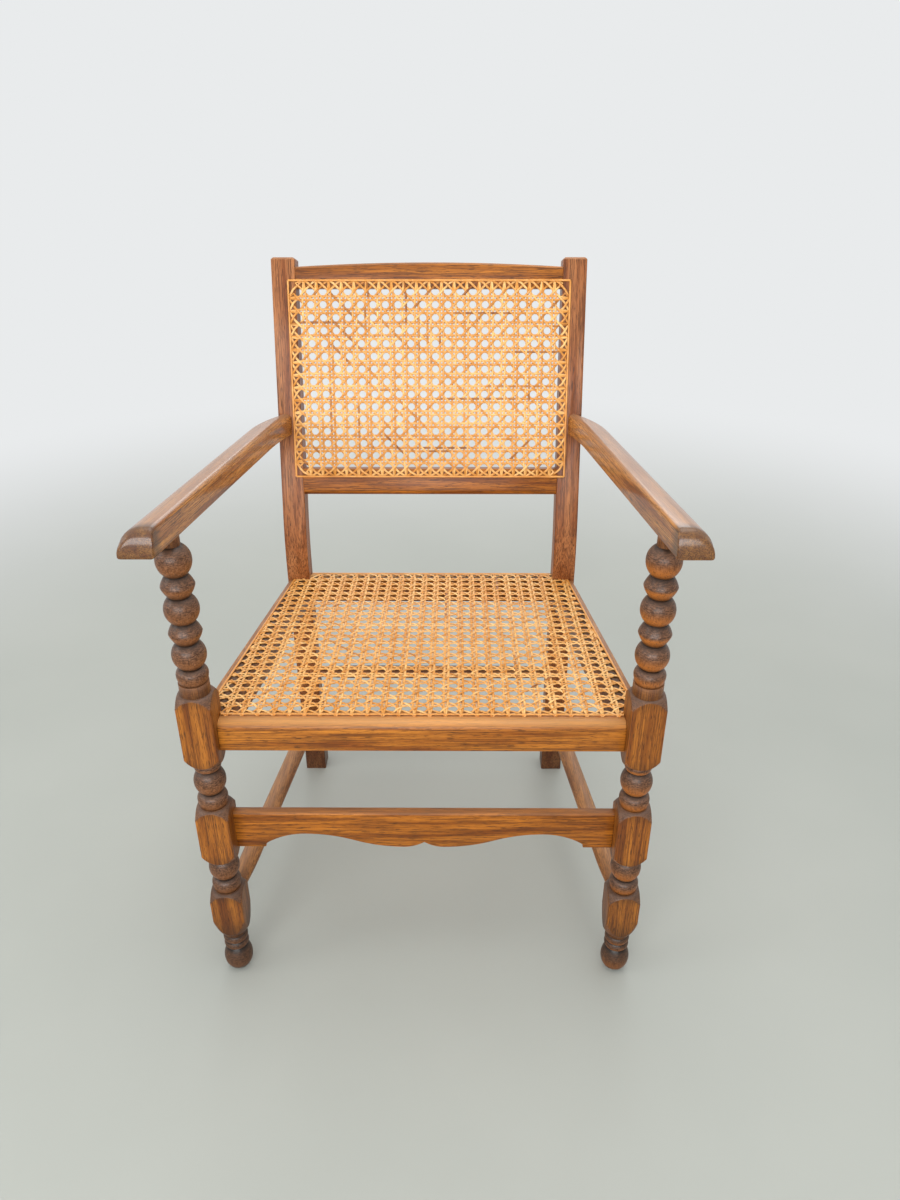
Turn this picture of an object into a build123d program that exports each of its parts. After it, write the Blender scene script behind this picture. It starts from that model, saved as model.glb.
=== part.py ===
from build123d import *
import os
from math import cos, pi, radians, sin, sqrt, tan

# Oak armchair with spool-turned front legs and a woven cane seat and back.
# Millimetres, X to the right as seen from the front, Y to the back, Z up.
# Depths are measured from the axis of the front legs. The finished chair is moved in Y
# at the end, so that its origin is on the floor under the middle of its outline.

# Stance
leg_spread = 525.0  # between the axes of the two front legs
posts_width = 461.0  # across the outer faces of the rear posts
posts_depth = 421.5  # from the front leg axis to the front faces of the rear posts
overall_height = 864.0  # floor to the top of the rear posts

# Joinery: every tenon sits in a mortise that is cut with this clearance
fit = 0.1
mortise_spare = 1.0  # depth left free behind the end of a tenon
tenon_length = 15.0
tenon_thickness = 10.0
tenon_shoulder = 4.0  # step from the edge of a rail to its tenon
pin_radius = 7.0  # round tenons of the legs and of the turned stretchers

# Front legs: square stock, turned to beads between three blocks
leg_block = 42.0
arris_ease = 1.2  # bevel along the corners of squared stock
ball_radius = 19.7
disc_radius = 18.8
ring_radius = 16.6
collar_radius = 17.8  # where a block's turned shoulder meets the beads
fillet_radius = 15.0  # thin line between a bead and a block
groove_radius = 12.0
neck_radius = 10.0  # under the arm
foot_radius = 19.3
foot_pad_radius = 10.0
shoulder_height = 16.0  # turned shoulder at an end of a block
shoulder_fullness = 0.68  # share of the shoulder's rise that is reached half way along it
foot_taper = 34.0  # longer shoulder at the lower end of the foot block
seat_block_above = 40.0  # block past the top of the front rail
seat_block_below = 21.0  # block past the bottom of the front rail
stretcher_block_above = 19.0  # block past the top of the front stretcher
stretcher_block_below = 13.0  # block past the bottom of the front stretcher
foot_block_above = 36.0  # block past the side stretcher's axis
foot_block_below = 41.0

# Heights of the turned beads, shared out over the leg between its blocks
foot_height = 40.5
ball_height = 32.5
disc_height = 26.5
dome_height = 20.0
ring_height = 12.0
collar_height = 15.0
line_height = 8.5
under_arm_height = 35.0
neck_height = 10.0

# Turned work is cut in flats: sides round the axis, and bands along each bead
turned_sides = 24  # a multiple of 8, so that a corner of the section lies on each corner of a block
ball_bands = 4
disc_bands = 3
ring_bands = 2

# Rear posts
post_width = 35.0
post_thickness = 34.0
post_bend_height = 450.0
post_bend_radius = 400.0
back_rake = 13.7  # degrees
post_top_ease = 3.0

# Seat frame, sloped down to the back
seat_height = 422.0  # top of the front rail
seat_slope = 4.7  # degrees
rail_height = 40.0
front_rail_face = 9.0  # front face ahead of the leg axis
front_rail_round = 10.0
side_rail_width = 32.0
side_rail_front_half = 267.0  # chair's centre to a side rail's outer face, at the leg
side_rail_rear_half = 227.5  # the same at the post
rear_rail_thickness = 28.0
rear_rail_inset = 3.0  # from the back faces of the posts

# Back frame, measured along the raked posts
crest_below_top = 13.1  # ends of the crest rail below the tops of the posts
crest_height = 30.0  # at its ends
crest_arch = 6.0
crest_thickness = 24.0
crest_ease = 2.5
lower_rail_bottom = 79.0  # from the bend
lower_rail_height = 40.5
lower_rail_thickness = 24.0
lower_rail_round = 8.0

# Stretchers
front_stretcher_top = 274.0
front_stretcher_height = 56.0
front_stretcher_face = 1.0  # front face behind the leg axis
front_stretcher_thickness = 12.0
front_stretcher_chamfer = 2.0
ogee_end_flat = 37.0  # straight lower edge at each end
ogee_rise_length = 52.0  # from there to the top of the arch
ogee_rise = 22.0
ogee_lobe_distance = 26.0  # lobe's lowest point from the middle
ogee_step = 5.0
cusp_height = 8.5
side_stretcher_height = 114.0
side_stretcher_radius = 13.0
rear_stretcher_height = 199.0
rear_stretcher_radius = 11.0
stretcher_end_radius = 9.0
stretcher_taper = 70.0

# Arms
arm_underside = 660.0  # height at the front leg
arm_slope = 5.4  # degrees, down to the back
arm_thickness = 31.0
arm_overhang = 66.0  # nose ahead of the leg axis
arm_nose_radius = 24.0
arm_inner_front = 258.5  # chair's centre to the arm's inner side, at the nose
arm_inner_sweep = 225.0  # the same where both sides start to curve in
arm_inner_rear = 209.0  # the same at the post
arm_outer_front = 294.0  # chair's centre to the arm's outer side, at the nose
arm_outer_sweep = 259.0  # the same where both sides start to curve in
arm_sweep_length = 95.0  # from there to the post
arm_top_outer_round = 16.5
arm_top_inner_round = 4.0
arm_tenon_width = 12.0
arm_tenon_height = 18.0

# Cane: one sheet of weave on each panel, with a binder strip over its line of holes
cane_thickness = 1.6
cane_edge = 1.7  # sheet past the line of holes
cane_clearance = 0.5  # sheet to the legs and posts that it is notched round
binder_width = 3.4
binder_thickness = 1.0
side_hole_line = 8.7  # line of holes from the side rails' outer faces
front_hole_line = 18.0  # line of holes from the front rail's face
rear_hole_line = 7.7  # line of holes from the rear rail's back face
post_hole_line = 10.8  # line of holes from the posts' inner faces
crest_hole_line = 10.9  # line of holes from the crest rail's lower edge
lower_hole_line = 11.8  # line of holes from the lower rail's upper edge
weave_pitch = 18.7  # between the holes drilled in the frame
seat_step = 1.75  # the seat's sheet has coarser gaps than its weave
gap_share = 0.6  # open part of the pitch

# Derived places
leg_axis = leg_spread / 2
half_block = leg_block / 2
post_outer = posts_width / 2
post_inner = post_outer - post_width
posts_back = posts_depth + post_thickness
rake = radians(back_rake)
slope = radians(seat_slope)
arm_tilt = radians(arm_slope)
rail_front = -front_rail_face
rail_bottom = seat_height - rail_height
back_length = (overall_height - post_bend_height) / cos(rake)
crest_end_top = back_length - crest_below_top
crest_bottom = crest_end_top - crest_height
crest_middle_top = crest_end_top + crest_arch
lower_rail_top = lower_rail_bottom + lower_rail_height
back_plane = Plane((0, posts_depth, post_bend_height), x_dir=(1, 0, 0), z_dir=(0, -cos(rake), sin(rake)))
seat_plane = Plane((0, rail_front, seat_height), x_dir=(1, 0, 0), z_dir=(0, sin(slope), cos(slope)))
reach = 2 * overall_height  # size of the cutting solids, past every piece


def seat_top(depth):
    return seat_height - (depth - rail_front) * tan(slope)


def side_rail_outer(depth):
    share = (depth - half_block) / (posts_depth - half_block)
    return side_rail_front_half + share * (side_rail_rear_half - side_rail_front_half)


def arm_bottom(depth):
    return arm_underside - depth * tan(arm_tilt)


def side_prism(points, low, high):
    """Solid with an outline in depth and height, between two distances across the chair."""
    outline = Polyline(*[(low, depth, height) for depth, height in points], close=True)
    return extrude(make_face(outline), high - low, dir=(1, 0, 0))


def plan_prism(points, low, high):
    """Solid with an outline in plan, between two heights."""
    outline = Polyline(*[(across, depth, low) for across, depth in points], close=True)
    return extrude(make_face(outline), high - low, dir=(0, 0, 1))


def slab(low, high):
    """Straight-sided solid between two opposite corners."""
    size = [end - start for start, end in zip(low, high)]
    return Pos(*low) * Box(*size, align=(Align.MIN, Align.MIN, Align.MIN))


def turned(profile):
    """Turned solid about Z, in flats, from the radius and height of each corner of its profile."""
    turns = [2 * pi * side / turned_sides for side in range(turned_sides)]
    rings = [[(radius * cos(turn), radius * sin(turn), height) for turn in turns] for radius, height in profile]
    flats = [rings[0], rings[-1]]
    for below, above in zip(rings, rings[1:]):
        for side in range(turned_sides):
            flats.append((below[side - 1], below[side], above[side], above[side - 1]))
    return Part() + Solid(Shell([Face(Wire.make_polygon(corners)) for corners in flats]))


def bead(start, end, crown, bands):
    """Corners of a bead after its start, on a round outline cut into straight bands."""
    if bands == 1:
        return [end]
    (start_radius, low), (end_radius, high) = start, end
    fullest = 1 - ((bands % 2) / bands) ** 2
    corners = []
    for band in range(1, bands + 1):
        share = band / bands
        base = start_radius + share * (end_radius - start_radius)
        swell = (1 - (2 * share - 1) ** 2) / fullest
        corners.append((sqrt(base**2 + swell * (crown**2 - base**2)), low + share * (high - low)))
    return corners


# Front legs
block_corner = leg_block / sqrt(2)  # turning radius just outside the eased corners of the square
foot_block = (side_stretcher_height - foot_block_below, side_stretcher_height + foot_block_above)
stretcher_bottom = front_stretcher_top - front_stretcher_height
stretcher_block = (stretcher_bottom - stretcher_block_below, front_stretcher_top + stretcher_block_above)
seat_block = (rail_bottom - seat_block_below, seat_height + seat_block_above)


def add_block(profile, low, high, lower_shoulder):
    """Square block between two full turned shoulders."""
    fullest = collar_radius + shoulder_fullness * (block_corner - collar_radius)
    profile.append((collar_radius, low))
    profile.append((fullest, low + lower_shoulder / 2))
    profile.append((block_corner, low + lower_shoulder))
    profile.append((block_corner, high - shoulder_height))
    profile.append((fullest, high - shoulder_height / 2))
    profile.append((collar_radius, high))


def add_beads(profile, top, beads):
    """Beads that fill the height up to the top in proportion to their own heights."""
    low = profile[-1][1]
    scale = (top - low) / sum(height for height, crown, end_radius, bands in beads)
    for height, crown, end_radius, bands in beads:
        start = profile[-1]
        end = (end_radius, start[1] + height * scale)
        profile.extend(bead(start, end, crown, bands))


ball = (ball_height, ball_radius, groove_radius, ball_bands)
disc = (disc_height, disc_radius, groove_radius, disc_bands)
dome = (dome_height, disc_radius, groove_radius, disc_bands)
ring = (ring_height, ring_radius, fillet_radius, ring_bands)
line = (line_height, fillet_radius, fillet_radius, 1)
profile = [(foot_pad_radius, 0)]
foot_ball = (foot_height, foot_radius, groove_radius, ball_bands)
add_beads(profile, foot_block[0], (foot_ball, ring, ring, line))
add_block(profile, *foot_block, foot_taper)
add_beads(profile, stretcher_block[0], (dome, ball))
add_block(profile, *stretcher_block, shoulder_height)
add_beads(profile, seat_block[0], (dome, ball, ring))
add_block(profile, *seat_block, shoulder_height)
collar_top = seat_block[1] + collar_height
profile.append((collar_radius, collar_top))
under_arm = (under_arm_height, ball_radius, neck_radius, ball_bands)
neck = (neck_height, neck_radius, neck_radius, 1)
add_beads(profile, arm_bottom(0), (dome, ball, disc, ball, disc, under_arm, neck))
leg_top = arm_bottom(0) + neck_radius
profile.append((neck_radius, leg_top))
square = chamfer(Rectangle(leg_block, leg_block).vertices(), arris_ease)
front_leg = Pos(leg_axis, 0, 0) * (turned(profile) & extrude(square, leg_top))
over_arm_underside = side_prism(
    ((-reach, arm_bottom(-reach)), (reach, arm_bottom(reach)), (reach, 2 * reach), (-reach, 2 * reach)),
    0,
    reach,
)
front_leg -= over_arm_underside
pin_plane = Plane((leg_axis, 0, arm_bottom(0)), x_dir=(1, 0, 0), z_dir=(0, sin(arm_tilt), cos(arm_tilt)))
front_leg += pin_plane * turned([(pin_radius, 0), (pin_radius, tenon_length)])

# Rear posts, bent back above the seat
bend_tangent = post_bend_radius * tan(rake / 2)
up_rake = Vector(0, sin(rake), cos(rake))
through_post = Vector(0, cos(rake), -sin(rake)) * post_thickness
bend_point = Vector(post_inner, posts_depth, post_bend_height)
bend_low = bend_point - Vector(0, 0, bend_tangent)
bend_high = bend_point + up_rake * bend_tangent
post_top = bend_point + up_rake * back_length
post_foot = Vector(post_inner, posts_depth, 0)
backwards = Vector(0, post_thickness, 0)
post_edges = [
    Line(post_foot, bend_low),
    TangentArc(bend_low, bend_high, tangent=(0, 0, 1)),
    Line(bend_high, post_top),
    Line(post_top, post_top + through_post),
    Line(post_top + through_post, bend_high + through_post),
    TangentArc(bend_high + through_post, bend_low + backwards, tangent=-up_rake),
    Line(bend_low + backwards, post_foot + backwards),
    Line(post_foot + backwards, post_foot),
]
rear_post = extrude(make_face(post_edges), post_width, dir=(1, 0, 0))
rear_post = chamfer(rear_post.faces().sort_by(Axis.Z)[-1].edges(), post_top_ease)
long_edges = rear_post.edges().filter_by(GeomType.LINE).filter_by(lambda e: e.length > post_width * 2)
rear_post = chamfer(long_edges, arris_ease)

# Seat frame
slope_slab = side_prism(
    (
        (-reach, seat_top(-reach)),
        (reach, seat_top(reach)),
        (reach, seat_top(reach) - rail_height),
        (-reach, seat_top(-reach) - rail_height),
    ),
    -reach,
    reach,
)


def rail_tenon(depth, upper):
    """Lowest and highest point of a seat rail's tenon, in the upper or lower half of the rail."""
    top = seat_top(depth)
    middle = top - rail_height / 2
    if upper:
        return middle + tenon_shoulder / 2, top - tenon_shoulder
    return top - rail_height + tenon_shoulder, middle - tenon_shoulder / 2


def cross_tenon(start, depth, low, high, grow=0, spare=0):
    """Tenon on the right-hand end of a rail that runs across the chair."""
    half = tenon_thickness / 2 + grow
    return slab((start, depth - half, low - grow), (start + tenon_length + spare, depth + half, high + grow))


def with_both_ends(rail, tenon):
    return rail + tenon + mirror(tenon, about=Plane.YZ)


leg_inner = leg_axis - half_block
rail_rear = half_block  # flush with the back of the leg's block
front_rail_middle = (rail_front + rail_rear) / 2
seat_rail_front = slab((-leg_inner, rail_front, 0), (leg_inner, rail_rear, reach)) & slope_slab
top_front_edge = seat_rail_front.edges().filter_by(Axis.X).group_by(Axis.Y)[0].sort_by(Axis.Z)[-1]
seat_rail_front = fillet(top_front_edge, front_rail_round)
front_rail_tenon = (leg_inner, front_rail_middle, *rail_tenon(front_rail_middle, upper=False))
seat_rail_front = with_both_ends(seat_rail_front, cross_tenon(*front_rail_tenon))
front_leg -= cross_tenon(*front_rail_tenon, fit, mortise_spare)

rear_rail_back = posts_back - rear_rail_inset
rear_rail_front = rear_rail_back - rear_rail_thickness
rear_rail_middle = (rear_rail_front + rear_rail_back) / 2
seat_rail_rear = slab((-post_inner, rear_rail_front, 0), (post_inner, rear_rail_back, reach)) & slope_slab
rear_rail_tenon = (post_inner, rear_rail_middle, *rail_tenon(rear_rail_middle, upper=False))
seat_rail_rear = with_both_ends(seat_rail_rear, cross_tenon(*rear_rail_tenon))
rear_post -= cross_tenon(*rear_rail_tenon, fit, mortise_spare)


def side_rail_strip(start, end, inset, width):
    """Plan outline along the right-hand side rail, inset from its outer face."""
    outer_start = side_rail_outer(start) - inset
    outer_end = side_rail_outer(end) - inset
    return (outer_start, start), (outer_end, end), (outer_end - width, end), (outer_start - width, start)


def side_rail_tenon(start, end, shoulder_depth, grow=0):
    inset = (side_rail_width - tenon_thickness) / 2 - grow
    low, high = rail_tenon(shoulder_depth, upper=True)
    return plan_prism(side_rail_strip(start, end, inset, tenon_thickness + 2 * grow), low - grow, high + grow)


seat_rail_right = plan_prism(side_rail_strip(half_block, posts_depth, 0, side_rail_width), 0, reach) & slope_slab
seat_rail_right += side_rail_tenon(half_block - tenon_length, half_block, half_block)
seat_rail_right += side_rail_tenon(posts_depth, posts_depth + tenon_length, posts_depth)
mortise_depth = tenon_length + mortise_spare
front_leg -= side_rail_tenon(half_block - mortise_depth, half_block, half_block, fit)
rear_post -= side_rail_tenon(posts_depth, posts_depth + mortise_depth, posts_depth, fit)

# Front stretcher, a board with an ogee-cut lower edge
flat_start = leg_inner - ogee_end_flat
arch_top = flat_start - ogee_rise_length
ogee_middle = (arch_top + ogee_lobe_distance) / 2


def stretcher_point(across, above_bottom):
    return Vector(across, front_stretcher_face, stretcher_bottom + above_bottom)


top_middle = stretcher_point(0, front_stretcher_height)
top_end = stretcher_point(leg_inner, front_stretcher_height)
bottom_end = stretcher_point(leg_inner, 0)
step_low = stretcher_point(flat_start, 0)
step_high = stretcher_point(flat_start, ogee_step)
arch = stretcher_point(arch_top, ogee_rise)
turn = stretcher_point(ogee_middle, ogee_rise / 2)  # the ogee changes from hollow to round here
lobe = stretcher_point(ogee_lobe_distance, 0)
cusp = stretcher_point(0, cusp_height)
board_outline = [
    Line(top_middle, top_end),
    Line(top_end, bottom_end),
    Line(bottom_end, step_low),
    Line(step_low, step_high),
    TangentArc(arch, step_high, tangent=(1, 0, 0)),
    TangentArc(arch, turn, tangent=(-1, 0, 0)),
    TangentArc(lobe, turn, tangent=(1, 0, 0)),
    TangentArc(lobe, cusp, tangent=(-1, 0, 0)),
    Line(cusp, top_middle),
]
half_board = extrude(make_face(board_outline), front_stretcher_thickness, dir=(0, 1, 0))
stretcher_front = half_board + mirror(half_board, about=Plane.YZ)
board_top_edge = stretcher_front.edges().filter_by(Axis.X).group_by(Axis.Z)[-1].sort_by(Axis.Y)[0]
stretcher_front = chamfer(board_top_edge, front_stretcher_chamfer)
stretcher_tenon = (
    leg_inner,
    front_stretcher_face + front_stretcher_thickness / 2,
    stretcher_bottom + tenon_shoulder,
    front_stretcher_top - tenon_shoulder,
)
stretcher_front = with_both_ends(stretcher_front, cross_tenon(*stretcher_tenon))
front_leg -= cross_tenon(*stretcher_tenon, fit, mortise_spare)


# Turned stretchers with tapered ends and round tenons
def stick_plane(start, end):
    return Plane(start, z_dir=end - start)


def turned_stick(start, end, radius):
    """Stick between two points, carried past both ends so that its shoulders can be cut."""
    length = (end - start).length
    profile = (
        (stretcher_end_radius, -tenon_length),
        (stretcher_end_radius, 0),
        (radius, stretcher_taper),
        (radius, length - stretcher_taper),
        (stretcher_end_radius, length),
        (stretcher_end_radius, length + tenon_length),
    )
    return stick_plane(start, end) * turned(profile)


def stick_pin(start, end, grow=0, spare=0):
    """Round tenon through both ends of a stick."""
    length = (end - start).length
    past = tenon_length + spare
    return stick_plane(start, end) * turned([(pin_radius + grow, -past), (pin_radius + grow, length + past)])


post_middle = (post_inner + post_outer) / 2
side_start = Vector(leg_axis, half_block, side_stretcher_height)
side_end = Vector(post_middle, posts_depth, side_stretcher_height)
stretcher_right = turned_stick(side_start, side_end, side_stretcher_radius)
stretcher_right &= slab((0, half_block, 0), (reach, posts_depth, reach))
stretcher_right += stick_pin(side_start, side_end)
side_stretcher_mortise = stick_pin(side_start, side_end, fit, mortise_spare)
front_leg -= side_stretcher_mortise
rear_post -= side_stretcher_mortise

rear_end = Vector(post_inner, posts_depth + post_thickness / 2, rear_stretcher_height)
rear_start = Vector(-rear_end.X, rear_end.Y, rear_end.Z)
stretcher_rear = turned_stick(rear_start, rear_end, rear_stretcher_radius)
stretcher_rear &= slab((-post_inner, 0, 0), (post_inner, reach, reach))
stretcher_rear += stick_pin(rear_start, rear_end)
rear_post -= stick_pin(rear_start, rear_end, fit, mortise_spare)

# Back frame: an arched crest rail and a lower rail between the posts
crest_edges = [
    Line((-post_inner, crest_end_top), (-post_inner, crest_bottom)),
    Line((-post_inner, crest_bottom), (post_inner, crest_bottom)),
    Line((post_inner, crest_bottom), (post_inner, crest_end_top)),
    ThreePointArc((post_inner, crest_end_top), (0, crest_middle_top), (-post_inner, crest_end_top)),
]
crest = extrude(make_face(crest_edges), -crest_thickness)
crest = chamfer(crest.edges().filter_by(GeomType.CIRCLE), crest_ease)


def back_tenon(low, high, thickness, grow=0, spare=0):
    """Tenon on the right-hand end of a rail of the back, in the raked plane."""
    half = tenon_thickness / 2 + grow
    middle = -thickness / 2
    return slab(
        (post_inner, low + tenon_shoulder - grow, middle - half),
        (post_inner + tenon_length + spare, high - tenon_shoulder + grow, middle + half),
    )


crest_tenon = (crest_bottom, crest_end_top, crest_thickness)
crest_rail = back_plane * with_both_ends(crest, back_tenon(*crest_tenon))
rear_post -= back_plane * back_tenon(*crest_tenon, fit, mortise_spare)

lower_rail = slab((-post_inner, lower_rail_bottom, -lower_rail_thickness), (post_inner, lower_rail_top, 0))
lower_front_edge = lower_rail.edges().filter_by(Axis.X).group_by(Axis.Z)[-1].sort_by(Axis.Y)[0]
lower_rail = fillet(lower_front_edge, lower_rail_round)
lower_tenon = (lower_rail_bottom, lower_rail_top, lower_rail_thickness)
back_lower_rail = back_plane * with_both_ends(lower_rail, back_tenon(*lower_tenon))
rear_post -= back_plane * back_tenon(*lower_tenon, fit, mortise_spare)

# Arms, drawn on their sloped underside and sawn square to it
arm_plane = Plane((0, 0, arm_underside), x_dir=(1, 0, 0), z_dir=pin_plane.z_dir)
arm_face_height = arm_underside + arm_thickness / 2 - post_bend_height
arm_rear = (posts_depth + arm_face_height * tan(rake)) / (1 + tan(arm_tilt) * tan(rake))
arm_length = arm_rear / cos(arm_tilt)  # along the slope, from the leg axis to the post
arm_past = arm_length + post_thickness  # carried into the post, then cut at its face
arm_nose = -arm_overhang
sweep_run = arm_length - arm_sweep_length
sweep_start = Vector(arm_outer_sweep, sweep_run)
outer_nose = Vector(arm_outer_front, arm_nose)
sweep_end = Vector(post_outer, arm_length)
inner_nose = Vector(arm_inner_front, arm_nose)
inner_start = Vector(arm_inner_sweep, sweep_run)
inner_end = Vector(arm_inner_rear, arm_length)
arm_plan = [
    Line(inner_nose, inner_start),
    TangentArc(inner_start, inner_end, tangent=inner_start - inner_nose),
    Line(inner_end, (arm_inner_rear, arm_past)),
    Line((arm_inner_rear, arm_past), (post_outer, arm_past)),
    Line((post_outer, arm_past), sweep_end),
    TangentArc(sweep_start, sweep_end, tangent=sweep_start - outer_nose),
    Line(sweep_start, outer_nose),
    Line(outer_nose, inner_nose),
]
plank = extrude(make_face(arm_plan), arm_thickness, dir=(0, 0, 1))


def arm_top_edges(arm):
    """Long edges of the arm's upper face, from the inner to the outer side."""
    upper = arm.faces().sort_by(Axis.Z)[-1]
    return upper.edges().filter_by(lambda edge: edge.length > 2 * arm_thickness).sort_by(Axis.X)


plank = fillet(arm_top_edges(plank)[-1], arm_top_outer_round)
plank = fillet(arm_top_edges(plank)[0], arm_top_inner_round)
nose_low = Vector(0, arm_nose, arm_thickness - arm_nose_radius)
nose_high = Vector(0, arm_nose + arm_nose_radius, arm_thickness)
rolled_side = [
    Line((0, arm_nose, 0), nose_low),
    TangentArc(nose_low, nose_high, tangent=(0, 0, 1)),
    Line(nose_high, (0, arm_past, arm_thickness)),
    Line((0, arm_past, arm_thickness), (0, arm_past, 0)),
    Line((0, arm_past, 0), (0, arm_nose, 0)),
]
plank &= extrude(make_face(rolled_side), reach, dir=(1, 0, 0))
arm_right = arm_plane * plank - back_plane * slab((-reach, -reach, -reach), (reach, reach, 0))


def arm_tenon(grow=0, spare=0):
    """Stub tenon at the rear end of the right-hand arm, square to the post's face."""
    across = (arm_inner_rear + post_outer) / 2
    up = (arm_bottom(arm_rear) + arm_thickness / 2 - post_bend_height) / cos(rake)
    half_width = arm_tenon_width / 2 + grow
    half_height = arm_tenon_height / 2 + grow
    return back_plane * slab(
        (across - half_width, up - half_height, -tenon_length - spare),
        (across + half_width, up + half_height, 0),
    )


arm_right += arm_tenon()
rear_post -= arm_tenon(fit, mortise_spare)
arm_right -= pin_plane * turned([(pin_radius + fit, 0), (pin_radius + fit, mortise_depth)])


# Cane
def woven_net(outline, pitch, side, ends, clear_ends, half_opening):
    """Flat net: one sheet with square gaps between the lines of holes, where they clear the frame."""
    near, far = ends
    columns = round(2 * side / pitch)
    rows = round((far - near) / pitch)
    half_width = gap_share * side / columns
    half_length = gap_share * (far - near) / rows / 2
    gaps = []
    for row in range(rows):
        level = near + (far - near) * (row + 0.5) / rows
        low = level - half_length
        high = level + half_length
        clear_side = min(half_opening(low), half_opening(high))
        for column in range(columns):
            middle = side * ((2 * column + 1) / columns - 1)
            left = middle - half_width
            right = middle + half_width
            if low > clear_ends[0] and high < clear_ends[1] and max(-left, right) < clear_side:
                gaps.append(Wire.make_polygon([(left, low), (right, low), (right, high), (left, high)]))
    return extrude(Face(Wire.make_polygon(outline), gaps), cane_thickness)


def both_sides(right_points):
    """Closed outline from the points of its right-hand half."""
    return [*right_points, *[(-across, level) for across, level in reversed(right_points)]]


def binder(outline):
    """Flat strip lying on the woven sheet."""
    return extrude(Pos(0, 0, cane_thickness) * make_face(Polyline(*outline, close=True)), binder_thickness)


def seat_run(depth):
    """Distance along the sloped seat from the front rail's face."""
    return (depth - rail_front) / cos(slope)


def seat_half_opening(run):
    return side_rail_outer(rail_front + run * cos(slope)) - side_rail_width


seat_hole_front = rail_front + front_hole_line
seat_hole_rear = rear_rail_back - rear_hole_line
sheet_front = seat_hole_front - cane_edge
sheet_rear = seat_hole_rear + cane_edge
sheet_side_front = half_block + cane_clearance
sheet_side_rear = posts_depth - cane_clearance
sheet_inset = side_hole_line - cane_edge
seat_outline = (
    (leg_inner - cane_clearance, sheet_front),
    (leg_inner - cane_clearance, sheet_side_front),
    (side_rail_outer(sheet_side_front) - sheet_inset, sheet_side_front),
    (side_rail_outer(sheet_side_rear) - sheet_inset, sheet_side_rear),
    (post_inner - cane_clearance, sheet_side_rear),
    (post_inner - cane_clearance, sheet_rear),
)
seat_cane = seat_plane * woven_net(
    both_sides([(across, seat_run(depth)) for across, depth in seat_outline]),
    weave_pitch * seat_step,
    leg_inner - cane_clearance,
    (seat_run(seat_hole_front), seat_run(seat_hole_rear)),
    (seat_run(rail_rear), seat_run(rear_rail_front)),
    seat_half_opening,
)


def seat_binder(plan_outline):
    return seat_plane * binder([(across, seat_run(depth)) for across, depth in plan_outline])


def cross_binder(half_length, depth):
    return seat_binder(both_sides([(half_length, depth - binder_width / 2), (half_length, depth + binder_width / 2)]))


seat_binder_front = cross_binder(leg_inner - cane_clearance, seat_hole_front)
seat_binder_rear = cross_binder(post_inner - cane_clearance, seat_hole_rear)
binder_inset = side_hole_line - binder_width / 2
seat_binder_right = seat_binder(side_rail_strip(sheet_side_front, sheet_side_rear, binder_inset, binder_width))

hole_side = post_inner + post_hole_line
hole_top = crest_bottom + crest_hole_line
hole_bottom = lower_rail_top - lower_hole_line
back_cane = back_plane * woven_net(
    both_sides([(hole_side + cane_edge, hole_bottom - cane_edge), (hole_side + cane_edge, hole_top + cane_edge)]),
    weave_pitch,
    hole_side,
    (hole_bottom, hole_top),
    (lower_rail_top, crest_bottom),
    lambda up: post_inner,
)
half_binder = binder_width / 2
strip_end = hole_side + half_binder


def back_cross_binder(up):
    return back_plane * binder(both_sides([(strip_end, up - half_binder), (strip_end, up + half_binder)]))


back_binder_top = back_cross_binder(hole_top)
back_binder_bottom = back_cross_binder(hole_bottom)
back_binder_right = back_plane * binder(
    (
        (hole_side - half_binder, hole_bottom + half_binder),
        (hole_side + half_binder, hole_bottom + half_binder),
        (hole_side + half_binder, hole_top - half_binder),
        (hole_side - half_binder, hole_top - half_binder),
    )
)

# Put together, with the left-hand pieces mirrored from the right-hand ones
pieces = {
    "crest_rail": crest_rail,
    "back_lower_rail": back_lower_rail,
    "seat_rail_front": seat_rail_front,
    "seat_rail_rear": seat_rail_rear,
    "stretcher_front": stretcher_front,
    "stretcher_rear": stretcher_rear,
    "seat_cane": seat_cane,
    "back_cane": back_cane,
    "seat_binder_front": seat_binder_front,
    "seat_binder_rear": seat_binder_rear,
    "back_binder_top": back_binder_top,
    "back_binder_bottom": back_binder_bottom,
}
right_hand = {
    "front_leg": front_leg,
    "rear_post": rear_post,
    "arm": arm_right,
    "seat_rail": seat_rail_right,
    "stretcher": stretcher_right,
    "seat_binder": seat_binder_right,
    "back_binder": back_binder_right,
}
for name, piece in right_hand.items():
    pieces[name + "_right"] = piece
    pieces[name + "_left"] = mirror(piece, about=Plane.YZ)

boxes = [piece.bounding_box() for piece in pieces.values()]
middle_depth = (min(box.min.Y for box in boxes) + max(box.max.Y for box in boxes)) / 2
os.makedirs("parts", exist_ok=True)
for name, piece in pieces.items():
    export_step(Pos(0, -middle_depth, 0) * piece, f"parts/{name}.step")
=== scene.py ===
import random
from math import cos, pi, radians, sin, sqrt

import bmesh
import bpy
from mathutils import Matrix, Vector


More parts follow.
